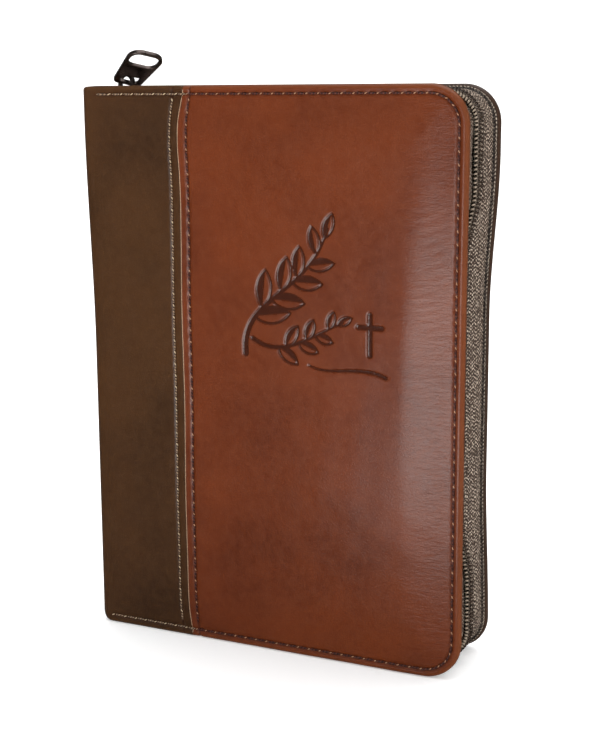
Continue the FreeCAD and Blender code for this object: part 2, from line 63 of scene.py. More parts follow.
def set_camera():
    """A long lens, a little above the middle of the book and to the right of its front."""
    turn = Matrix.Rotation(math.radians(LOOKS_LEFT), 4, "Z")
    tilt = Matrix.Rotation(math.radians(90 - LOOKS_DOWN), 4, "X")
    roll = Matrix.Rotation(math.radians(LEANS), 4, "Z")
    bpy.ops.object.camera_add(location=Vector(CAMERA_PLACE) * MM)
    camera = bpy.context.object
    camera.rotation_euler = (turn @ tilt @ roll).to_euler()
    camera.data.lens = LENS
    camera.data.sensor_width = 36
    camera.data.clip_start = 0.01
    bpy.context.scene.camera = camera


# ---------------------------------------------------------------- sizes, in millimetres, from the frame

def box_mm(node):
    """The lowest and highest corners of a node's box, in millimetres."""
    low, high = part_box(node)
    return low / MM, high / MM


panel_low, panel_high = box_mm("front_leather_panel")
spine_low, spine_high = box_mm("spine_leather")
tape_low = box_mm("back_zip_tape")[0]
slider_high = box_mm("slider_body")[1]
stop_high = box_mm("bottom_stop")[1]

FORE_EDGE = panel_high.x
HEIGHT = panel_high.z
HALF = -panel_low.y
SEAM = panel_low.x
SPINE = spine_low.x
HINGE = spine_high.x
TAPE_START = tape_low.x
CORNER = 10.5

STITCH_INSET = 2.4
STITCH_PITCH = 3.4
FLAP_ROW = SEAM - 2.9
PANEL_ROW = SEAM + 2.4
TOOTH_PITCH = 1.15

# The rolled edge of a leather, ring by ring: how far in from the outline, and how far behind the face.
EDGE_START = 1.2
EDGE_ROLL = [(0.62, 0.12), (0.22, 0.5), (0.02, 1.1), (0.0, 1.8), (0.22, 2.5), (0.75, 2.95), (1.6, 3.0)]
TURN_IN = [(3.0, 2.95), (3.8, 2.5), (8.0, 2.4), (8.4, 1.15)]
HIDE = 1.15

# How high the padding rises, and how far the skin sits below the flat face without it.
CROWN = 0.54
SETTLED = 0.1

FRONT, BACK = -1, 1
SIDES = {"front": FRONT, "back": BACK}


# ---------------------------------------------------------------- working with meshes

def only(*chosen):
    """Leaves just these objects selected, with the first one active."""
    bpy.ops.object.select_all(action="DESELECT")
    for piece in chosen:
        piece.select_set(True)
    bpy.context.view_layer.objects.active = chosen[0]


def places(piece):
    """Where the piece's points are, in millimetres, one row each."""
    flat = np.empty(len(piece.data.vertices) * 3, np.float32)
    piece.data.vertices.foreach_get("co", flat)
    return flat.reshape(-1, 3).astype(float) / MM


def put(piece, x, y, z):
    """Moves the piece's points to these millimetres."""
    spots = np.stack(np.broadcast_arrays(x, y, z), 1) * MM
    piece.data.vertices.foreach_set("co", spots.astype(np.float32).ravel())
    piece.data.update()


def note(piece, name, values):
    """Keeps one number for each point of the piece, which its material reads."""
    kept = piece.data.attributes.get(name) or piece.data.attributes.new(name, "FLOAT", "POINT")
    kept.data.foreach_set("value", np.asarray(values, np.float32))


def grid(name, across, along, place):
    """A grid with a column at each across value and a row at each along value, moved where place says."""
    bpy.ops.object.select_all(action="DESELECT")
    bpy.ops.mesh.primitive_grid_add(x_subdivisions=len(across) - 1, y_subdivisions=len(along) - 1, size=2)
    piece = bpy.context.object
    piece.name = piece.data.name = name
    flat = places(piece) * MM
    column = np.rint((flat[:, 0] + 1) / 2 * (len(across) - 1)).astype(int)
    row = np.rint((flat[:, 1] + 1) / 2 * (len(along) - 1)).astype(int)
    put(piece, *place(np.asarray(across, float)[column], np.asarray(along, float)[row]))
    note(piece, "across", np.asarray(across, float)[column])
    note(piece, "run", np.asarray(along, float)[row])
    return piece


def weld(piece, gap=0.004):
    """Joins points that lie together and turns every face outwards."""
    only(piece)
    bpy.ops.object.mode_set(mode="EDIT")
    bpy.ops.mesh.select_all(action="SELECT")
    bpy.ops.mesh.remove_doubles(threshold=gap * MM)
    bpy.ops.mesh.normals_make_consistent(inside=False)
    bpy.ops.object.mode_set(mode="OBJECT")


def open_edge(piece):
    """Selects the open edge of a sheet, and only that."""
    only(piece)
    bpy.ops.object.mode_set(mode="EDIT")
    bpy.ops.mesh.select_mode(type="EDGE")
    bpy.ops.mesh.select_all(action="DESELECT")
    bpy.ops.mesh.select_non_manifold(extend=False, use_wire=False, use_boundary=True, use_multi_face=False,
                                     use_non_contiguous=False, use_verts=False)


def chosen_points(piece):
    """Which of the piece's points are selected."""
    picked = np.empty(len(piece.data.vertices), bool)
    piece.data.vertices.foreach_get("select", picked)
    return picked


def thicken(piece, thickness, offset):
    """Gives a sheet its thickness; offset -1 grows it behind its faces, 0 both ways."""
    only(piece)
    wall = piece.modifiers.new("thickness", "SOLIDIFY")
    wall.thickness = thickness * MM
    wall.offset = offset
    wall.use_even_offset = True
    bpy.ops.object.modifier_apply(modifier="thickness")


def smooth(start, end, value):
    """Goes softly from 0 at start to 1 at end."""
    t = np.clip((value - start) / (end - start), 0, 1)
    return t * t * (3 - 2 * t)


def finish_piece(piece, material, body, slot, *nodes, angle=50):
    """Smooths the piece, gives it its material and lets it ride on its body in place of its nodes."""
    only(piece)
    bpy.ops.object.shade_smooth_by_angle(angle=math.radians(angle))
    if material:
        piece.data.materials.clear()
        piece.data.materials.append(material)
    if body:
        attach(piece, body)
    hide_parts(*nodes)


# ---------------------------------------------------------------- the shape of the covers

def cover_edge(x, z):
    """Distance in from the cover's edge, and the direction straight out through it."""
    upper = np.where(z > HEIGHT / 2, 1.0, -1.0)
    dx = x - (FORE_EDGE - CORNER)
    dz = np.abs(z - HEIGHT / 2) - (HEIGHT / 2 - CORNER)
    rounded = (dx > 0) & (dz > 0)
    reach = np.maximum(np.hypot(dx, dz), 1e-6)
    inset = CORNER - np.where(rounded, reach, np.maximum(dx, dz))
    out_x = np.where(rounded, dx / reach, (dx >= dz) * 1.0)
    out_z = np.where(rounded, dz / reach, (dx < dz) * 1.0) * upper
    return inset, out_x, out_z


def edge_length(start):
    """How long the cover's edge is, from x = start on the top round to x = start on the bottom."""
    return 2 * (FORE_EDGE - CORNER - start) + math.pi * CORNER + HEIGHT - 2 * CORNER


def along_edge(run, start):
    """The cover's edge at a distance along it from x = start on the top, and the direction out."""
    straight = FORE_EDGE - CORNER - start
    total = edge_length(start)
    lower = run > total / 2
    near = np.where(lower, total - run, run)
    turn = np.clip((near - straight) / CORNER, 0, math.pi / 2)
    x = start + np.minimum(near, straight) + CORNER * np.sin(turn)
    z = HEIGHT - CORNER + CORNER * np.cos(turn)
    z = z - np.maximum(near - straight - math.pi / 2 * CORNER, 0)
    out_z = np.where(lower, -np.cos(turn), np.cos(turn))
    return x, np.where(lower, HEIGHT - z, z), np.sin(turn), out_z


def seam_sway(x, z):
    """How far the seam between the leathers wanders sideways, most where it goes over the edges."""
    sway = 1.4 * np.exp(-((HEIGHT - z) / 6.5) ** 2) + 1.1 * np.exp(-(z / 6) ** 2)
    sway = sway - 0.55 * np.exp(-((z - 146) / 9) ** 2) + 0.12 * np.sin(z / 9.0)
    return sway * np.exp(-np.abs(x - SEAM) / 7)


def zip_pull(x, y, z):
    """The closed zip draws the free edges of the covers together and inwards, most at mid-height."""
    held = (1 - 0.9 * smooth(98, 142, z)) * (0.45 + 0.55 * smooth(5, 55, z))
    reach = np.clip((x - 39) / 17, 0, 1.2) ** 1.45 * held
    pinch = np.where(y > 0, 3.1, 1.7)
    recess = 0.7 + 0.75 * (y + HALF) / (2 * HALF)
    return x - recess * reach, y * (1 - pinch * reach / HALF), z


def spine_swell(x, z):
    """How far the padded spine leather stands out past the joint, most towards the top."""
    most = (1.35 + 1.6 * smooth(85, 152, z)) * (0.35 + 0.65 * smooth(-0.5, 3.0, z))
    return most * smooth(HINGE + 7, HINGE - 0.5, x)


def stitch_dent(distance, run):
    """The furrow that a row of stitches pulls into padded leather, deepest at its holes."""
    at_hole = np.cos(2 * math.pi * run / STITCH_PITCH)
    return (0.3 + 0.08 * at_hole) * np.exp(-(distance / 0.6) ** 2)


def skin_height(x, z):
    """How far the padded leather stands above the cover's flat face."""
    inset, out_x = cover_edge(x, z)[:2]
    crown = CROWN * smooth(2.0, 17, inset) - SETTLED
    waves = 0.05 * np.sin(x / 5.3 + 1.3 * np.sin(z / 11)) * np.sin(z / 7.1 + 0.7)
    waves = waves + 0.03 * np.sin(x / 2.1 + z / 3.7) * np.sin(z / 2.9 - x / 6)
    slack = smooth(36, 50, x) * smooth(3.2, 6.5, inset)
    bent = 2.2 * np.sin(x / 3.1) + 1.7 * np.sin(z / 5.3)
    rucks = 0.022 * np.sin(z / 0.42 + bent) * np.sin(z / 6.7 + x / 4)
    run = np.where(np.abs(out_x) > 0.5, z, x)
    puff = 0.12 * np.exp(-((inset - 1.15) / 0.5) ** 2)
    rows = stitch_dent(inset - STITCH_INSET, run)
    beside = np.exp(-((x - SEAM) / 5.0) ** 4)
    seam_rows = stitch_dent(x - FLAP_ROW, z) + stitch_dent(x - PANEL_ROW, z)
    lap = 0.2 * smooth(SEAM + 0.05, SEAM - 0.05, x) * smooth(SEAM - 3, SEAM, x)
    return crown + waves + slack * rucks + puff - rows - seam_rows * beside + lap


def dress(piece, side):
    """Moves a piece modelled on a flat cover, with its height in y, to its place on one side."""
    x, height, z = places(piece).T
    inset = cover_edge(x, z)[0]
    lifted = HALF + height + skin_height(x, z) * smooth(-2.6, -0.9, height)
    note(piece, "inset", inset)
    put(piece, *zip_pull(x + seam_sway(x, z) - spine_swell(x, z), side * lifted, z))
    weld(piece)


# ---------------------------------------------------------------- the tooled ornament

def stroke(x, z, points, thick, thin):
    """Distance outside a tapering line through the points, negative inside it."""
    best = np.full(x.shape, 99.0)
    steps = len(points) - 1
    for i in range(steps):
        (ax, az), (bx, bz) = points[i], points[i + 1]
        lx, lz = bx - ax, bz - az
        t = np.clip(((x - ax) * lx + (z - az) * lz) / (lx * lx + lz * lz), 0, 1)
        half = (thick + (thin - thick) * (i + t) / steps) / 2
        best = np.minimum(best, np.hypot(x - ax - t * lx, z - az - t * lz) - half)
    return best


def bow(start, pull, push, end, steps=22):
    """Points of a smooth bend from start to end, drawn towards two control places."""
    points = []
    for t in np.linspace(0, 1, steps + 1):
        a, b, c, d = (1 - t) ** 3, 3 * t * (1 - t) ** 2, 3 * t * t * (1 - t), t ** 3
        points.append((a * start[0] + b * pull[0] + c * push[0] + d * end[0],
                       a * start[1] + b * pull[1] + c * push[1] + d * end[1]))
    return points


def leaf(x, z, root, angle, length, width):
    """A pointed leaf, cut as an outline with one half filled."""
    c, s = math.cos(angle), math.sin(angle)
    u = (x - root[0]) * c + (z - root[1]) * s - length / 2
    v = -(x - root[0]) * s + (z - root[1]) * c
    radius = (length ** 2 / 4 + width ** 2 / 4) / width
    lens = np.maximum(np.hypot(u, v - (radius - width / 2)), np.hypot(u, v + (radius - width / 2))) - radius
    outline = np.abs(lens) - 0.42
    half_fill = np.maximum(lens, 0.1 - v)
    return np.minimum(outline, half_fill)


def sprig(x, z, stem, first, count, length, width, splay):
    """Leaves in turn on both sides of a stem, smaller towards its tip, with one at its end."""
    best = np.full(x.shape, 99.0)
    for i in range(count + 1):
        at_tip = i == count
        k = len(stem) - 2 if at_tip else first + round(i * (len(stem) - 2 - first) / count)
        (ax, az), (bx, bz) = stem[k], stem[k + 1]
        side = 0 if at_tip else (1 if i % 2 else -1)
        angle = math.atan2(bz - az, bx - ax) + side * splay
        size = length * (1 - 0.38 * i / count)
        best = np.minimum(best, leaf(x, z, (ax, az), angle, size, width * size / length))
    return best


def ornament(x, z):
    """How deep the tool sank, 0 to 1: two olive sprigs, a small cross and a flourish under it."""
    tall = bow((-7.0, 86.5), (-8.5, 103), (12, 103), (18.0, 122.0))
    wide = bow((-4.8, 91.0), (3.5, 85.5), (12, 92), (22.5, 97.0))
    distance = np.minimum(stroke(x, z, tall, 1.9, 1.0), stroke(x, z, wide, 1.5, 0.8))
    distance = np.minimum(distance, sprig(x, z, tall, 6, 8, 11.0, 4.6, math.radians(42)))
    distance = np.minimum(distance, sprig(x, z, wide, 7, 6, 7.2, 3.2, math.radians(44)))
    upright = stroke(x, z, [(30.5, 99.5), (30.5, 88.5)], 1.6, 1.6)
    crossbar = stroke(x, z, [(27.1, 96.1), (33.9, 96.1)], 1.6, 1.6)
    distance = np.minimum(distance, np.minimum(upright, crossbar))
    swash = bow((12.5, 84.6), (18, 81.6), (28, 86.2), (35.0, 82.8))
    distance = np.minimum(distance, stroke(x, z, swash, 0.7, 1.3))
    return smooth(0.16, -0.26, distance)


# ---------------------------------------------------------------- materials

def linear(code):
    """A colour from its usual six figures, as the shader wants it."""
    parts = [int(code[i:i + 2], 16) / 255 for i in (0, 2, 4)]
    return tuple(p / 12.92 if p < 0.04045 else ((p + 0.055) / 1.055) ** 2.4 for p in parts) + (1.0,)


def add_node(tree, kind, links=None, **settings):
    """A node with its settings, and its inputs set or joined by name or number."""
    made = tree.nodes.new(kind)
    for key, value in settings.items():
        setattr(made, key, value)
    for key, value in (links or {}).items():
        if isinstance(value, bpy.types.NodeSocket):
            tree.links.new(value, made.inputs[key])
        else:
            made.inputs[key].default_value = value
    return made


def sums(tree, operation, first, second=0.0, third=0.0):
    """The result of a sum on numbers or sockets."""
    made = add_node(tree, "ShaderNodeMath", {0: first, 1: second, 2: third}, operation=operation)
    return made.outputs[0]


def blend_colour(tree, share, first, second):
    """A colour between two others, nearer the second as share grows to 1."""
    made = add_node(tree, "ShaderNodeMix", {0: share, 6: first, 7: second}, data_type="RGBA")
    return made.outputs[2]


def between(tree, value, low, high, to_low=0.0, to_high=1.0):
    """A value moved from one stretch of numbers to another, and kept inside it."""
    made = add_node(tree, "ShaderNodeMapRange",
                    {"Value": value, "From Min": low, "From Max": high, "To Min": to_low, "To Max": to_high})
    return made.outputs[0]


def noise(tree, place, scale, detail=2.0, roughness=0.5, distortion=0.0):
    """The outputs of a noise with so many waves to a metre."""
    made = add_node(tree, "ShaderNodeTexNoise",
                    {"Vector": place, "Scale": scale, "Detail": detail, "Roughness": roughness,
                     "Distortion": distortion})
    return made.outputs


def stretched(tree, place, times):
    """A place with each of its axes multiplied."""
    made = add_node(tree, "ShaderNodeVectorMath", {0: place, 1: times}, operation="MULTIPLY")
    return made.outputs[0]


def ripple(tree, value, length):
    """A sine of a value, with one wave to each length."""
    return sums(tree, "SINE", sums(tree, "MULTIPLY", value, 2 * math.pi / length))


def axis_of(tree, place, number):
    """One coordinate of a place: 0 for x, 1 for y, 2 for z."""
    return add_node(tree, "ShaderNodeSeparateXYZ", {0: place}).outputs[number]


def noted(tree, name):
    """The number that note kept for each point."""
    return add_node(tree, "ShaderNodeAttribute", attribute_name=name).outputs["Fac"]


def new_group(name, inputs, outputs):
    """An effect with named inputs and outputs: its tree, its inputs by name and its output node."""
    group = bpy.data.node_groups.new(name, "ShaderNodeTree")
    for label, (kind, value) in inputs.items():
        made = group.interface.new_socket(label, in_out="INPUT", socket_type="NodeSocket" + kind)
        if value is not None:
            made.default_value = value
    for label, kind in outputs.items():
        group.interface.new_socket(label, in_out="OUTPUT", socket_type="NodeSocket" + kind)
    inside = group.nodes.new("NodeGroupInput")
    outside = group.nodes.new("NodeGroupOutput")
    return group, inside.outputs, outside


def hide_grain():
    """Fine leather cells with soft pores between them, and shallow creases across the pull."""
    group, given, result = new_group(
        "hide grain", {"Place": ("Vector", None), "Cell": ("Float", 0.9), "Crease": ("Float", 0.3)},
        {"Height": "Float", "Pores": "Float"})
    place = given["Place"]
    scale = sums(group, "DIVIDE", 1000.0, given["Cell"])
    wander = noise(group, place, 900.0)["Color"]
    shift = add_node(group, "ShaderNodeVectorMath", {0: wander, 3: 0.0007}, operation="SCALE").outputs[0]
    moved = add_node(group, "ShaderNodeVectorMath", {0: place, 1: shift}, operation="ADD").outputs[0]
    cells = add_node(group, "ShaderNodeTexVoronoi", {"Vector": moved, "Scale": scale},
                     feature="DISTANCE_TO_EDGE")
    pebble = between(group, cells.outputs["Distance"], 0.0, 0.28)
    fine = noise(group, place, 2600.0, 3.0)[0]
    across_pull = stretched(group, place, (230.0, 230.0, 1150.0))
    crease = noise(group, across_pull, 1.0, 4.0, 0.62, 0.9)[0]
    folds = sums(group, "MULTIPLY", crease, given["Crease"])
    height = sums(group, "MULTIPLY_ADD", pebble, 0.32, folds)
    height = sums(group, "MULTIPLY_ADD", fine, 0.22, height)
    group.links.new(height, result.inputs["Height"])
    group.links.new(sums(group, "SUBTRACT", 1.0, pebble), result.inputs["Pores"])
    return group


def dye_mottling():
    """Uneven dye: broad clouds and smaller smudges."""
    group, given, result = new_group("dye mottling", {"Place": ("Vector", None), "Patch": ("Float", 22.0)},
                                     {"Cloud": "Float", "Smudge": "Float"})
    scale = sums(group, "DIVIDE", 1000.0, given["Patch"])
    cloud = noise(group, given["Place"], scale, 3.0)[0]
    smudge = noise(group, given["Place"], 420.0, 5.0, 0.65)[0]
    group.links.new(between(group, cloud, 0.34, 0.66), result.inputs["Cloud"])
    group.links.new(between(group, smudge, 0.35, 0.68), result.inputs["Smudge"])
    return group


def chevron_weave():
    """Slanting yarns that turn back and forth across a tape, some of them catching the light."""
    group, given, result = new_group(
        "chevron weave", {"Run": ("Float", 0.0), "Across": ("Float", 0.0), "Yarn": ("Float", 1.0),
                          "Place": ("Vector", None)},
        {"Height": "Float", "Glint": "Float"})
    stray = noise(group, given["Place"], 1300.0)[0]
    run = sums(group, "MULTIPLY_ADD", stray, 1.1, given["Run"])
    back_and_forth = sums(group, "PINGPONG", given["Across"], 1.1)
    slant = sums(group, "ADD", run, sums(group, "MULTIPLY", back_and_forth, 0.9))
    yarn = ripple(group, sums(group, "DIVIDE", slant, given["Yarn"]), 1.0)
    cross = ripple(group, given["Across"], 0.62)
    height = sums(group, "MULTIPLY_ADD", sums(group, "MULTIPLY", yarn, cross), 0.25, 0.5)
    height = sums(group, "MULTIPLY_ADD", yarn, 0.25, height)
    group.links.new(height, result.inputs["Height"])
    specks = noise(group, given["Place"], 1500.0, 1.0)[0]
    bright = between(group, sums(group, "MULTIPLY", height, specks), 0.26, 0.5)
    group.links.new(bright, result.inputs["Glint"])
    return group


def leaf_edges():
    """The cut edges of many thin leaves, as fine uneven lines."""
    group, given, result = new_group("leaf edges", {"Place": ("Vector", None)},
                                     {"Line": "Float", "Height": "Float"})
    line = noise(group, stretched(group, given["Place"], (22.0, 5200.0, 22.0)), 1.0, 3.0)[0]
    group.links.new(between(group, line, 0.36, 0.62), result.inputs["Line"])
    group.links.new(line, result.inputs["Height"])
    return group


def thread_twist():
    """The slanting strands of a twisted thread."""
    group, given, result = new_group(
        "thread twist", {"Run": ("Float", 0.0), "Across": ("Float", 0.0)}, {"Height": "Float"})
    slant = sums(group, "ADD", sums(group, "MULTIPLY", given["Run"], 9.0), given["Across"])
    strands = sums(group, "MULTIPLY_ADD", sums(group, "SINE", slant), 0.5, 0.5)
    group.links.new(strands, result.inputs["Height"])
    return group


GRAIN, DYE, WEAVE = hide_grain(), dye_mottling(), chevron_weave()
LEAVES, TWIST = leaf_edges(), thread_twist()


def use(tree, group, **given):
    """The outputs of an effect placed in a material with its own values."""
    return add_node(tree, "ShaderNodeGroup", given, node_tree=group).outputs


def new_material(name, **settings):
    """A material's tree, its shader and its place on the object; settings go straight on the shader."""
    made = bpy.data.materials.new(name)
    made.use_nodes = True
    shader = made.node_tree.nodes["Principled BSDF"]
    for key, value in settings.items():
        shader.inputs[key.replace("_", " ")].default_value = value
    place = add_node(made.node_tree, "ShaderNodeTexCoord").outputs["Object"]
    return made, made.node_tree, shader, place


def raise_by(tree, shader, height, depth, strength=1.0):
    """Joins a height, in shares of depth millimetres, to the shader's normal."""
    bump = add_node(tree, "ShaderNodeBump", {"Height": height, "Distance": depth * MM, "Strength": strength})
    tree.links.new(bump.outputs[0], shader.inputs["Normal"])


def leather(name, middle, deep, warm, rubbed, patch, crease):
    """Dyed, waxed leather: mottled, darker in its pores, lighter where its edge is rubbed, with painted shade
    in its stitch furrows and on its turned edge.
    """
    made, tree, shader, place = new_material(name, Coat_Weight=0.15, Coat_Roughness=0.25)
    shader.inputs["Specular IOR Level"].default_value = 0.35
    dye = use(tree, DYE, Place=place, Patch=patch)
    colour = blend_colour(tree, dye["Cloud"], linear(deep), linear(middle))
    colour = blend_colour(tree, sums(tree, "MULTIPLY", dye["Smudge"], 0.35), colour, linear(warm))
    slack = between(tree, axis_of(tree, place, 0), 0.036, 0.05)
    grain = use(tree, GRAIN, Place=place, Cell=0.85,
                Crease=sums(tree, "MULTIPLY_ADD", slack, crease, 0.18))
    colour = blend_colour(tree, sums(tree, "MULTIPLY", grain["Pores"], 0.22), colour, linear(deep))
    edge = between(tree, noted(tree, "inset"), 0.0, 1.5, 0.55, 0.0)
    colour = blend_colour(tree, edge, colour, linear(rubbed))
    # Painted shade: the stitch furrows are painted dark, as shade lying in them.
    colour = blend_colour(tree, sums(tree, "MULTIPLY", noted(tree, "furrow"), 0.62), colour,
                          linear("2A1009"))
    # Painted shade: the turned edge goes dark brown behind the cover's face.
    colour = blend_colour(tree, noted(tree, "under"), colour, linear("3D2A1E"))
    burnt = noted(tree, "tooled")
    colour = blend_colour(tree, sums(tree, "MULTIPLY", burnt, 0.92), colour, linear("30140A"))
    tree.links.new(colour, shader.inputs["Base Color"])
    rough = sums(tree, "MULTIPLY_ADD", dye["Smudge"], 0.07, 0.28)
    rough = sums(tree, "MULTIPLY_ADD", burnt, -0.12, rough)
    tree.links.new(rough, shader.inputs["Roughness"])
    raise_by(tree, shader, grain["Height"], 0.055, 0.75)
    return made


def cut_edge_and_highlight():
    """The pale, fibrous cut edge of a hide, its paleness partly a painted highlight."""
    made, tree, shader, place = new_material("cut hide edge and painted highlight", Roughness=0.7)
    fibre = noise(tree, place, 1800.0, 3.0)[0]
    tree.links.new(blend_colour(tree, fibre, linear("6B4E38"), linear("BFA283")),
                   shader.inputs["Base Color"])
    raise_by(tree, shader, fibre, 0.06)
    return made


def sewing_thread(name, shade, light):
    """Twisted thread, dark between its strands."""
    made, tree, shader = new_material(name, Roughness=0.65)[:3]
    twist = use(tree, TWIST, Run=noted(tree, "run"), Across=noted(tree, "across"))
    tree.links.new(blend_colour(tree, twist["Height"], linear(shade), linear(light)),
                   shader.inputs["Base Color"])
    raise_by(tree, shader, twist["Height"], 0.04)
    return made


def woven_tape():
    """Dark zip tape in a chevron weave, with a selvedge of beads along its outer edge; painted highlights on
    the beads' knots and painted shade in the crease beside them.
    """
    made, tree, shader, place = new_material("woven zip tape", Roughness=0.5)
    run, across = noted(tree, "run"), noted(tree, "across")
    weave = use(tree, WEAVE, Run=run, Across=across, Yarn=1.05, Place=place)
    colour = blend_colour(tree, weave["Height"], linear("1A110C"), linear("6A5242"))
    colour = blend_colour(tree, weave["Glint"], colour, linear("D6C3AE"))
    knots = sums(tree, "MULTIPLY_ADD", ripple(tree, run, 1.13), 0.5, 0.5)
    bead = between(tree, sums(tree, "ABSOLUTE", sums(tree, "SUBTRACT", across, 0.85)), 0.62, 0.4)
    # Painted highlights: the bead's knots are painted near white on their tops and near black between them.
    bead_highlights = blend_colour(tree, knots, linear("1C120C"), linear("E6D6C0"))
    colour = blend_colour(tree, bead, colour, bead_highlights)
    # Painted shade: a dark crease where the tape dips beside its selvedge.
    crease = between(tree, sums(tree, "ABSOLUTE", sums(tree, "SUBTRACT", across, 2.0)), 0.7, 0.2)
    colour = blend_colour(tree, sums(tree, "MULTIPLY", crease, 0.8), colour, linear("120B08"))
    tree.links.new(colour, shader.inputs["Base Color"])
    height = sums(tree, "MULTIPLY_ADD", bead, knots, weave["Height"])
    raise_by(tree, shader, height, 0.22)
    return made


def coil_nylon():
    """Dark nylon wire, with a painted highlight where its turns stand out."""
    made, tree, shader, place = new_material("zip coil nylon", Roughness=0.3)
    scuff = noise(tree, place, 1500.0, 3.0)[0]
    colour = blend_colour(tree, scuff, linear("18100C"), linear("4A382C"))
    # Painted highlight on the crest of each turn.
    crest_highlight = between(tree, sums(tree, "ABSOLUTE", ripple(tree, noted(tree, "run"), 1.0)), 0.8, 0.97, 0.0, 0.85)
    colour = blend_colour(tree, crest_highlight, colour, linear("C9B7A2"))
    tree.links.new(colour, shader.inputs["Base Color"])
    raise_by(tree, shader, scuff, 0.03)
    return made


def plated_metal():
    """Dark plated zinc with a brown cast, polished but handled."""
    made, tree, shader, place = new_material("dark plated metal", Metallic=1.0, Coat_Weight=0.25)
    smear = noise(tree, place, 420.0, 5.0, 0.6)[0]
    tree.links.new(blend_colour(tree, smear, linear("4A403D"), linear("9A8B85")),
                   shader.inputs["Base Color"])
    tree.links.new(between(tree, smear, 0.3, 0.7, 0.2, 0.4), shader.inputs["Roughness"])
    raise_by(tree, shader, smear, 0.02, 0.5)
    return made


def paper_stock(name, face, shade, lined):
    """Thin printing paper, with its leaf edges showing on a section's sides where lined."""
    made, tree, shader, place = new_material(name, Roughness=0.75)
    tooth = noise(tree, place, 1600.0, 4.0)[0]
    colour = blend_colour(tree, tooth, linear(shade), linear(face))
    height = sums(tree, "MULTIPLY", tooth, 0.15)
    if lined:
        lines = use(tree, LEAVES, Place=place)
        facing = axis_of(tree, add_node(tree, "ShaderNodeNewGeometry").outputs["True Normal"], 1)
        on_side = between(tree, sums(tree, "ABSOLUTE", facing), 0.75, 0.35)
        share = sums(tree, "MULTIPLY", on_side, sums(tree, "SUBTRACT", 1.0, lines["Line"]))
        colour = blend_colour(tree, share, colour, linear("A99B7E"))
        height = sums(tree, "MULTIPLY_ADD", lines["Height"], on_side, height)
    tree.links.new(colour, shader.inputs["Base Color"])
    raise_by(tree, shader, height, 0.06)
    return made


def bookcloth(name, dark, light, thread):
    """Plain-woven cloth: threads over and under, of one pitch both ways."""
    made, tree, shader, place = new_material(name, Roughness=0.8)
    warp = ripple(tree, axis_of(tree, place, 0), thread * MM)
    weft = ripple(tree, axis_of(tree, place, 2), thread * MM)
    weave = sums(tree, "MULTIPLY_ADD", sums(tree, "MULTIPLY", warp, weft), 0.5, 0.5)
    slub = noise(tree, place, 300.0, 4.0)[0]
    tone = sums(tree, "MULTIPLY", weave, between(tree, slub, 0.2, 0.8, 0.5, 1.2))
    tree.links.new(blend_colour(tree, tone, linear(dark), linear(light)), shader.inputs["Base Color"])
    raise_by(tree, shader, weave, 0.08)
    return made


def striped_band():
    """A headband worked over a cord in two colours of silk."""
    made, tree, shader, place = new_material("striped headband", Roughness=0.45)
    across = axis_of(tree, place, 1)
    fine = ripple(tree, across, 0.27 * MM)
    stripe = between(tree, ripple(tree, across, 1.6 * MM), -0.25, 0.25)
    tree.links.new(blend_colour(tree, stripe, linear("5A2416"), linear("D9C9A4")),
                   shader.inputs["Base Color"])
    raise_by(tree, shader, fine, 0.05)
    return made


def crumbed(name, dark, light, grain_size, depth):
    """A plain inner stuff with a visible grain, such as foam or greyboard."""
    made, tree, shader, place = new_material(name, Roughness=0.85)
    cells = add_node(tree, "ShaderNodeTexVoronoi", {"Vector": place, "Scale": 1000.0 / grain_size})
    tree.links.new(blend_colour(tree, cells.outputs["Distance"], linear(light), linear(dark)),
                   shader.inputs["Base Color"])
    raise_by(tree, shader, cells.outputs["Distance"], depth)
    return made


TAN = leather("tan leather", "602707", "4E1D04", "6C310C", "7C4626", 24.0, 3.0)
DARK = leather("dark leather", "41260E", "301B09", "4D3014", "54371D", 30.0, 0.5)
CUT_EDGE_AND_HIGHLIGHT = cut_edge_and_highlight()
# The long stitches on the tan: a red brown thread, painted darker as shade in its furrow.
DARK_THREAD = sewing_thread("red brown thread in painted shade", "240B05", "57200F")
# Painted highlights: pale copies of the thread for the glint stitches, where it catches the light at its
# holes.
TAN_GLINT_THREAD = sewing_thread("tan thread painted highlight", "7A4C32", "B8906F")
FLAP_THREAD = sewing_thread("brown thread", "35241A", "8E745A")
FLAP_GLINT_THREAD = sewing_thread("flap thread painted highlight", "927A5C", "CDB898")
TAPE = woven_tape()
COIL = coil_nylon()
METAL = plated_metal()
PAPER = paper_stock("section paper", "F1EAD8", "E4DBC4", True)
ENDPAPER = paper_stock("endpaper", "EFE7D6", "E2D8C2", False)
LINING = bookcloth("lining cloth", "2E1F15", "5A4130", 0.7)
MULL = bookcloth("mull", "B9AC92", "E8DFC9", 1.3)
BAND = striped_band()
FOAM = crumbed("foam", "B8B2A2", "E6E1D4", 0.9, 0.12)
BOARD = crumbed("greyboard", "6E675C", "9A9284", 1.4, 0.05)
KRAFT = crumbed("kraft paper", "8D6B45", "B08A5E", 1.1, 0.03)


# ---------------------------------------------------------------- leather panels

def steps(*stretches):
    """Places from end to end of each stretch, each given as (from, to, step)."""
    kept = []
    for start, end, step in stretches:
        count = max(1, round((end - start) / step))
        kept.extend(start + (end - start) * i / count for i in range(count))
    kept.append(stretches[-1][1])
    return np.array(kept)


def corner_rows(inset, between_corners):
    """Rows up a sheet with rounded corners: fine where they turn, and the given ones between them."""
    turn = np.linspace(math.pi / 2, 0, 27)
    radius = CORNER - inset
    low = CORNER - radius * np.sin(turn)
    middle = [row for row in between_corners if CORNER < row < HEIGHT - CORNER]
    return np.concatenate([low, middle, HEIGHT - low[::-1]])


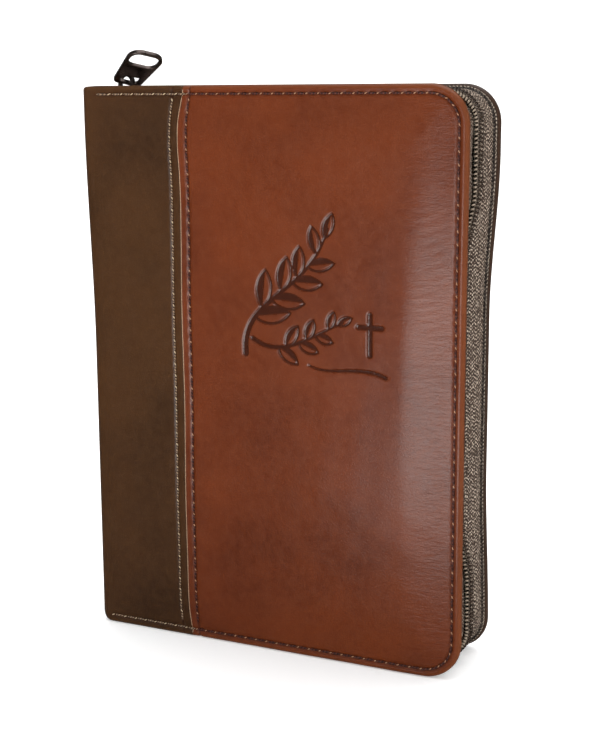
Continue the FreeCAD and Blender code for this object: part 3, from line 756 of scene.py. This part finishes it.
def rounded(inset, start, column, row):
    """Narrows the columns of a sheet, given for its full width, where its corners turn."""
    radius = CORNER - inset
    into = np.clip(np.abs(row - HEIGHT / 2) - (HEIGHT / 2 - CORNER), 0, radius)
    far = FORE_EDGE - CORNER + np.sqrt(np.maximum(radius ** 2 - into ** 2, 0))
    return start + (column - start) * (far - start) / (FORE_EDGE - inset - start)


def roll_edge(piece):
    """Turns the open edge of a flat panel over and in under the lining, then closes its back."""
    for inset, depth in EDGE_ROLL + TURN_IN:
        open_edge(piece)
        bpy.ops.mesh.extrude_edges_move()
        bpy.ops.object.mode_set(mode="OBJECT")
        ring = chosen_points(piece)
        x, height, z = places(piece).T
        now, out_x, out_z = cover_edge(x, z)
        at_seam = (x < SEAM + 0.01) & (now > EDGE_START + 0.5)
        step = np.where(ring & ~at_seam, now - inset, 0.0)
        deep = np.where(at_seam, min(depth, HIDE), depth)
        put(piece, x + out_x * step, np.where(ring, -deep, height), z + out_z * step)
    open_edge(piece)
    bpy.ops.mesh.edge_face_add()
    bpy.ops.object.mode_set(mode="OBJECT")


def leather_panel(name, side, tooled):
    """A tan panel: flat grid, rolled edge, then furrows, padding and, on the front, the ornament."""
    fine = 0.3 if tooled else 1.1
    columns = steps((SEAM, PANEL_ROW - 1.4, 0.5), (PANEL_ROW - 1.4, PANEL_ROW + 1.4, 0.3),
                    (PANEL_ROW + 1.4, -9.6, 0.9), (-9.6, 35.4, fine), (35.4, 50.6, 0.7),
                    (50.6, FORE_EDGE - EDGE_START, 0.3))
    middle = steps((CORNER, 80.4, 0.85), (80.4, 129.0, fine), (129.0, HEIGHT - CORNER, 0.85))
    rows = corner_rows(EDGE_START, middle)
    panel = grid(name, columns, rows, lambda c, r: (rounded(EDGE_START, SEAM, c, r), 0 * c, r))
    roll_edge(panel)
    x, height, z = places(panel).T
    inset = cover_edge(x, z)[0]
    on_face = height > -0.3
    cut = np.where(on_face, ornament(x, z), 0.0) if tooled else 0 * x
    # Where the painted shade of the stitch furrows lies.
    furrow = np.exp(-((inset - STITCH_INSET) / 0.34) ** 2) + np.exp(-((x - PANEL_ROW) / 0.3) ** 2)
    note(panel, "tooled", cut)
    note(panel, "furrow", np.where(on_face, np.minimum(furrow, 1), 0))
    # Painted shade on the turned edge, from 1.6 mm behind the face on the front cover and from 0.3 mm on the
    # back.
    note(panel, "under", smooth(1.6, 2.4, -height) if side == FRONT else smooth(0.3, 1.1, -height))
    put(panel, x, height - 0.34 * cut, z)
    dress(panel, side)
    body = name.split("_")[0] + "_cover"
    finish_piece(panel, TAN, body, "tan_leather", name)


# ---------------------------------------------------------------- spine leather

WRAP_THICKNESS = 0.95


def spine_wrap(name):
    """Half of the dark spine leather: from the middle of the spine, round the joint and out to the seam."""
    bend = HINGE - SPINE
    flat = HALF - bend
    arc = math.pi / 2 * bend
    length = flat + arc + SEAM - HINGE
    path = steps((0, flat, 1.4), (flat, flat + arc, 0.4), (flat + arc, length - 4.4, 1.1),
                 (length - 4.4, length, 0.3))
    face = steps((EDGE_START, 5.5, 0.3), (5.5, HEIGHT - 5.5, 1.0), (HEIGHT - 5.5, HEIGHT - EDGE_START, 0.3))
    over = [(min(inset, 1.5), depth * 0.9) for inset, depth in EDGE_ROLL]
    loop = [(z, 0.0) for z in face]
    loop += [(HEIGHT - inset, depth) for inset, depth in over]
    behind = [HEIGHT - 2.4] + [HEIGHT * k / 12 for k in range(11, 0, -1)] + [2.4]
    loop += [(z, WRAP_THICKNESS) for z in behind]
    loop += [(inset, depth) for inset, depth in reversed(over)]
    loop.append(loop[0])
    loop_z, loop_depth = np.array(loop).T

    def place(s, k):
        k = k.astype(int)
        z, depth = loop_z[k], loop_depth[k]
        turn = np.clip((s - flat) / bend, 0, math.pi / 2)
        x = HINGE - bend * np.cos(turn) + np.maximum(s - flat - arc, 0)
        y = np.minimum(s, flat) + bend * np.sin(turn)
        swell = spine_swell(x, z) * smooth(WRAP_THICKNESS, 0.3, depth)
        return x + depth * np.cos(turn) - swell, y - depth * np.sin(turn) - HALF, z

    wrap = grid(name, path, np.arange(len(loop)), place)
    weld(wrap)
    close_ends(wrap)
    return wrap


def close_ends(piece):
    """Caps both open ends of a tube."""
    open_edge(piece)
    bpy.ops.mesh.fill_holes(sides=0)
    bpy.ops.object.mode_set(mode="OBJECT")


def dark_spine(name, side, *nodes):
    """Half of the spine leather, finished and wrapped round the joint."""
    wrap = spine_wrap(name)
    x, height, z = places(wrap).T
    from_end = HEIGHT / 2 - np.abs(z - HEIGHT / 2)
    on_face = smooth(-0.45, -0.1, height) * smooth(HINGE - 2, HINGE + 1, x)
    # Where the painted shade of the stitch furrows lies.
    furrow = np.exp(-((from_end - STITCH_INSET) / 0.34) ** 2) * on_face
    furrow = furrow + np.exp(-((x - FLAP_ROW) / 0.3) ** 2) * on_face
    note(wrap, "furrow", np.minimum(furrow, 1))
    note(wrap, "tooled", 0 * x)
    note(wrap, "inset", from_end)
    rise = skin_height(x, z) * on_face
    y = HALF + height + rise
    put(wrap, *zip_pull(x + seam_sway(x, z) * smooth(HINGE, SEAM, x), side * y, z))
    weld(wrap)
    finish_piece(wrap, DARK, None, "dark_leather", *nodes)
    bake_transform(wrap)


def seam_edge(name, side):
    """The cut edge of the dark leather, a thin pale line down the seam, partly a painted highlight."""
    rows = steps((1.3, HEIGHT - 1.3, 1.2))

    def place(angle, z):
        return SEAM + 0.02 + 0.11 * np.cos(angle), -0.08 + 0.17 * np.sin(angle), z

    strip = grid(name, np.linspace(0, 2 * math.pi, 9), rows, place)
    weld(strip)
    close_ends(strip)
    dress(strip, side)
    finish_piece(strip, CUT_EDGE_AND_HIGHLIGHT, name.split("_")[0] + "_cover", "dark_leather")


# ---------------------------------------------------------------- sewing

def one_stitch(length, thick, sides, stations, material, dive):
    """A stitch lying along x: round, thicker in its middle, its ends going down into their holes."""
    angles = np.linspace(0, 2 * math.pi, sides + 1)
    along = np.linspace(-1, 1, stations)

    def place(angle, t):
        radius = thick / 2 * np.sqrt(np.maximum(1 - np.abs(t) ** 3, 0))
        return t * length / 2, radius * np.sin(angle) - dive * t ** 4, radius * 0.9 * np.cos(angle)

    stitch = grid("stitch", angles, along, place)
    weld(stitch, 0.002)
    stitch.data.materials.append(material)
    return stitch


STITCH_LIFT = 0.1
GLINT_LIES = (0.5, 0.12)
LONG_LIES = (0.0, 0.04)

# The glint kinds are painted highlights: short pale stitches between the long ones.
# Each kind of stitch: length, thickness, faces round it, rings along it, thread, how far its ends dive.
STITCHES = {
    "tan long": (2.75, 0.72, 6, 7, DARK_THREAD, 0.34), "tan glint": (0.85, 0.36, 5, 5, TAN_GLINT_THREAD, 0.1),
    "flap long": (2.5, 0.6, 6, 7, FLAP_THREAD, 0.32), "flap glint": (1.0, 0.38, 5, 5, FLAP_GLINT_THREAD, 0.1),
}


def sew(name, side, row, body, nodes, placed=None):
    """Sews a row of stitches, each an (x, z, angle, kind), and joins them into one piece."""
    patterns = {kind: one_stitch(*shape) for kind, shape in STITCHES.items()}
    copies = []
    for x, z, angle, kind in row:
        made = patterns[kind].copy()
        made.data = made.data.copy()
        bpy.context.collection.objects.link(made)
        lean, lift = GLINT_LIES if "glint" in kind else LONG_LIES
        made.matrix_world = (Matrix.Translation(Vector((x, STITCH_LIFT + lift, z)) * MM)
                             @ Matrix.Rotation(-angle - lean, 4, "Y"))
        copies.append(made)
    for pattern in patterns.values():
        bpy.data.objects.remove(pattern)
    only(*copies)
    bpy.ops.object.join()
    bpy.ops.object.transform_apply(location=True, rotation=True, scale=True)
    thread = bpy.context.object
    thread.name = thread.data.name = name
    if placed:
        placed(thread)
    else:
        dress(thread, side)
    finish_piece(thread, None, body, "thread", *nodes)


def edge_row():
    """The row round a cover's edge, from the spine along the top and back along the bottom."""
    start = HINGE + 1.2
    length = edge_length(start)
    count = round(length / STITCH_PITCH)
    row = []
    for i in range(count):
        for share, kind in ((0.5, " long"), (1.0, " glint")):
            run = np.array((i + share) * length / count)
            x, z, out_x, out_z = (float(v) for v in along_edge(run, start))
            kind = ("flap" if x < SEAM else "tan") + kind
            angle = math.atan2(-out_x, out_z)
            row.append((x - out_x * STITCH_INSET, z - out_z * STITCH_INSET, angle, kind))
    return row


def seam_row(x):
    """A straight row down beside the seam, between the rows along the edges."""
    top, bottom = HEIGHT - STITCH_INSET - 1.6, STITCH_INSET + 1.6
    count = round((top - bottom) / STITCH_PITCH)
    leather_name = "flap" if x < SEAM else "tan"
    row = []
    for i in range(count):
        pitch = (top - bottom) / count
        row.append((x, bottom + (i + 0.5) * pitch, math.pi / 2, leather_name + " long"))
        row.append((x, bottom + (i + 1.0) * pitch, math.pi / 2, leather_name + " glint"))
    return row


# ---------------------------------------------------------------- the zip

# The tape's section: distances from the book's middle, and how far in it lies in three places.
SECTION_Y = np.array([11.6, 11.5, 11.3, 11.05, 10.8, 10.6, 10.2, 9.4, 8.2, 6.8, 5.4, 4.4, 3.0, 2.0])
ALONG_TOP = np.array([1.6, 1.0, 0.66, 0.62, 0.9, 1.3, 1.55, 1.9, 2.5, 3.2, 3.85, 4.2, 4.2, 4.2])
AT_CORNER = np.array([1.6, 1.0, 0.66, 0.62, 0.9, 1.3, 1.45, 1.6, 1.85, 2.2, 2.6, 2.85, 2.95, 2.95])
AT_MIDDLE = np.array([1.6, 1.0, 0.66, 0.62, 0.9, 1.3, 1.5, 1.65, 1.95, 2.4, 2.95, 3.4, 4.3, 5.6])


COIL_FROM_MIDDLE = 1.12


def zip_section(x, z):
    """Shares of the three shapes of the tape: along the ends, at the corners, down the middle."""
    end = smooth(FORE_EDGE - CORNER, FORE_EDGE - CORNER - 30, x)
    middle = smooth(24, 42, z) * smooth(HEIGHT - 28, HEIGHT - 46, z) * smooth(40, 50, x)
    return end, np.clip(1 - end - middle, 0, 1), middle


def coil_centre(x, z):
    """How far in from the edge the coil lies, and how far it sways towards the front."""
    end, bend, middle = zip_section(x, z)
    inset = end * ALONG_TOP[-1] + bend * AT_CORNER[-1] + middle * AT_MIDDLE[-1] - 1.0
    return inset, -0.9 * middle


def zip_tape(name, side):
    """One tape, laid round the edge with its selvedge on the leather and its other edge under the coil."""
    runs = np.linspace(0, edge_length(TAPE_START), 330)
    width = np.concatenate([[0], np.cumsum(np.hypot(np.diff(ALONG_TOP), np.diff(SECTION_Y)))])

    def place(across, run):
        x, z, out_x, out_z = along_edge(run, TAPE_START)
        shares = zip_section(x, z)
        inset = sum(share * np.interp(across, width, shape)
                    for share, shape in zip(shares, (ALONG_TOP, AT_CORNER, AT_MIDDLE)))
        sway = coil_centre(x, z)[1] * smooth(11, 3, np.interp(across, width, SECTION_Y))
        y = side * np.interp(across, width, SECTION_Y) + sway
        inset = inset + 0.12 * np.sin(run / 3.1 + across) * smooth(2, 6, across) * (1 - shares[0])
        return x - out_x * inset, y, z - out_z * inset

    dense = np.unique(np.concatenate([width, np.linspace(0, width[-1], 26)]))
    tape = grid(name, dense, runs, place)
    thicken(tape, 0.3, -1 if side == BACK else 1)
    x, y, z = places(tape).T
    put(tape, *zip_pull(x, y, z))
    weld(tape)
    finish_piece(tape, TAPE, name.split("_")[0] + "_cover", "zip_tape", name)


def zip_coil(name, side):
    """One coil: a wire wound along the tape's edge, half a pitch out of step with the other one."""
    first = slider_high.x + 0.5 - TAPE_START
    last = edge_length(TAPE_START) - (stop_high.x + 0.6 - TAPE_START)
    turns = int((last - first) / TOOTH_PITCH)
    per_turn, wire, deep, wide = 12, 0.26, 0.78, 1.15
    stations = np.linspace(0, turns, turns * per_turn + 1)
    shift = 0.5 if side == BACK else 0.0

    def centreline(turn):
        run = first + (turn + 0.5 * shift) * TOOTH_PITCH
        x, z, out_x, out_z = along_edge(run, TAPE_START)
        inset, sway = coil_centre(x, z)
        middle = np.stack([x - out_x * inset, side * COIL_FROM_MIDDLE + sway, z - out_z * inset])
        phase = 2 * math.pi * turn
        inset = inset - deep * np.cos(phase)
        y = side * (COIL_FROM_MIDDLE + wide * np.sin(phase)) + sway
        return np.stack([x - out_x * inset, y, z - out_z * inset]), middle

    def place(angle, turn):
        centre, middle = centreline(turn)
        ahead = centreline(turn + 0.02)[0] - centreline(turn - 0.02)[0]
        ahead = ahead / np.linalg.norm(ahead, axis=0)
        outward = centre - middle
        outward = outward - ahead * (outward * ahead).sum(0)
        outward = outward / np.linalg.norm(outward, axis=0)
        sideways = np.cross(ahead.T, outward.T).T
        taper = np.where((turn < 0.01) | (turn > turns - 0.01), 0.0, wire)
        return tuple(centre + taper * (np.cos(angle) * outward + np.sin(angle) * sideways))

    coil = grid(name, np.linspace(0, 2 * math.pi, 7), stations, place)
    weld(coil, 0.002)
    x, y, z = places(coil).T
    put(coil, *zip_pull(x, y, z))
    finish_piece(coil, COIL, name.split("_")[0] + "_cover", "zip_coil", name, angle=80)


# ---------------------------------------------------------------- boards, linings and leaves

def cover_sheet(name, start, inset, near, far, body, slot, material, corner=None):
    """A flat layer with rounded fore-edge corners, from y = near to y = far, drawn in by the zip."""
    radius = corner if corner else CORNER - inset
    far_x, top = FORE_EDGE - inset, HEIGHT - inset
    turn = np.linspace(0, math.pi / 2, 12)
    ends = inset + radius - radius * np.cos(turn)
    rows = np.concatenate([ends, steps((inset + radius, top - radius, 8.0))[1:-1], HEIGHT - ends[::-1]])
    columns = steps((start, 40, 12.0), (40, far_x, 1.2))

    def place(column, row):
        into = np.clip(np.abs(row - HEIGHT / 2) - (top - HEIGHT / 2 - radius), 0, radius)
        edge = far_x - radius + np.sqrt(np.maximum(radius ** 2 - into ** 2, 0))
        return start + (column - start) * (edge - start) / (far_x - start), near + 0 * column, row

    layer = grid(name, columns, rows, place)
    thicken(layer, abs(far - near), 1)
    x, y, z = places(layer).T
    y = np.where(np.abs(y - near) < 1e-3, near, far)
    put(layer, *zip_pull(x, y, z))
    weld(layer)
    finish_piece(layer, material, body, slot, name, angle=40)


def layer_like(node, body, slot, material, corner=None):
    """A cover_sheet with the place and thickness of its node."""
    low, high = box_mm(node)
    cover_sheet(node, low.x, low.z, low.y, high.y, body, slot, material, corner)


# ---------------------------------------------------------------- building it

set_camera()

for word, side in SIDES.items():
    cover = word + "_cover"
    leather_panel(word + "_leather_panel", side, side == FRONT)
    dark_spine(word + "_spine_leather", side, word + "_spine_flap", "spine_leather")
    seam_edge(word + "_seam_edge", side)
    sew(word + "_edge_stitching", side, edge_row(), cover, [word + "_edge_thread"])
    seam_rows = seam_row(FLAP_ROW) + seam_row(PANEL_ROW)
    sew(word + "_seam_stitching", side, seam_rows, cover, [word + "_seam_thread"])
    zip_tape(word + "_zip_tape", side)
    zip_coil(word + "_zip_coil", side)
    layer_like(word + "_foam_pad", cover, "foam", FOAM)
    layer_like(word + "_board", cover, "board", BOARD)
    layer_like(word + "_lining", cover, "lining_cloth", LINING)
    layer_like(word + "_pastedown", cover, "paper", ENDPAPER)
    layer_like(word + "_flyleaf", word + "_flyleaf", "paper", ENDPAPER, corner=6)

    def inside_row(thread, side=side):
        """The bobbin thread's stitches lie on the lining."""
        x, height, z = places(thread).T
        put(thread, *zip_pull(x, side * (HALF - 3.12 - height), z))
        weld(thread)

    sew(word + "_bobbin_stitching", side, edge_row(), cover, [word + "_bobbin_thread"], placed=inside_row)

for section in ("first_section", "second_section", "third_section", "last_section"):
    layer_like(section, section, "paper", PAPER, corner=6)
layer_like("page_block", "book_block", "paper", PAPER, corner=6)

FINISHES = {
    "slider_body": METAL, "slider_crown": METAL, "pull_tab": METAL, "bottom_stop": METAL,
    "section_folds": PAPER, "mull": MULL, "hollow_tube": KRAFT, "spine_liner": LINING,
    "headband": BAND, "tailband": BAND,
}
for node, material in FINISHES.items():
    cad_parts[node].data.materials.clear()
    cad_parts[node].data.materials.append(material)


# ---------------------------------------------------------------- studio

def backdrop():
    """A pale floor that sweeps up behind the book."""
    bpy.ops.object.select_all(action="DESELECT")
    bpy.ops.mesh.primitive_plane_add(size=6)
    floor = bpy.context.object
    floor.name = "studio_floor"
    bpy.ops.object.mode_set(mode="EDIT")
    bpy.ops.mesh.select_mode(type="EDGE")
    bpy.ops.object.mode_set(mode="OBJECT")
    for edge in floor.data.edges:
        ends = [floor.data.vertices[i].co.y for i in edge.vertices]
        edge.select = min(ends) > 2.9
    bpy.ops.object.mode_set(mode="EDIT")
    bpy.ops.mesh.extrude_region_move(TRANSFORM_OT_translate={"value": (0, 0, 3.5)})
    bpy.ops.object.mode_set(mode="OBJECT")
    for edge in floor.data.edges:
        ends = [floor.data.vertices[i].co for i in edge.vertices]
        edge.select = all(end.y > 2.9 and end.z < 0.1 for end in ends)
    bpy.ops.object.mode_set(mode="EDIT")
    bpy.ops.mesh.bevel(offset=1.6, segments=24)
    bpy.ops.object.mode_set(mode="OBJECT")
    bpy.ops.object.shade_smooth()
    made, tree, shader, place = new_material("pale studio paper", Roughness=0.9, Emission_Strength=0.3)
    shader.inputs["Emission Color"].default_value = (1.0, 1.0, 1.0, 1.0)
    tone = noise(tree, place, 3.0)[0]
    tree.links.new(blend_colour(tree, tone, linear("F4F4F4"), linear("FAFAFA")),
                   shader.inputs["Base Color"])
    floor.data.materials.append(made)
    floor.visible_glossy = False  # keeps the leather deep in colour


def softbox(name, place, aim, width, height, power):
    """A rectangular soft light that faces the point aimed at."""
    bpy.ops.object.light_add(type="AREA", location=place)
    light = bpy.context.object
    light.name = name
    light.data.shape = "RECTANGLE"
    light.data.size = width
    light.data.size_y = height
    light.data.energy = power
    light.visible_camera = False
    light.rotation_euler = (Vector(aim) - Vector(place)).to_track_quat("-Z", "Y").to_euler()


backdrop()
MIDDLE = (0, 0, 0.08)
softbox("table_softbox", (0.045, -0.55, 0.064), (0.045, -0.41, 1.064), 0.13, 0.84, 1.9)
softbox("key_softbox", (0.6, -0.75, 0.45), MIDDLE, 0.5, 0.7, 0.2)
softbox("fill_softbox", (-0.9, -0.8, 0.5), MIDDLE, 0.9, 0.9, 0.2)
softbox("top_softbox", (0.1, 0.1, 1.0), MIDDLE, 0.9, 0.9, 3.4)
softbox("backdrop_light", (0, 0.9, 1.3), (0, 2.2, 0.2), 1.5, 1.0, 8.0)

world = bpy.context.scene.world or bpy.data.worlds.new("studio")
bpy.context.scene.world = world
world.use_nodes = True
SKY = world.node_tree.nodes["Background"].inputs
SKY["Color"].default_value = (1.0, 1.0, 1.0, 1.0)
SKY["Strength"].default_value = 0.06
bpy.context.scene.view_settings.view_transform = "Standard"
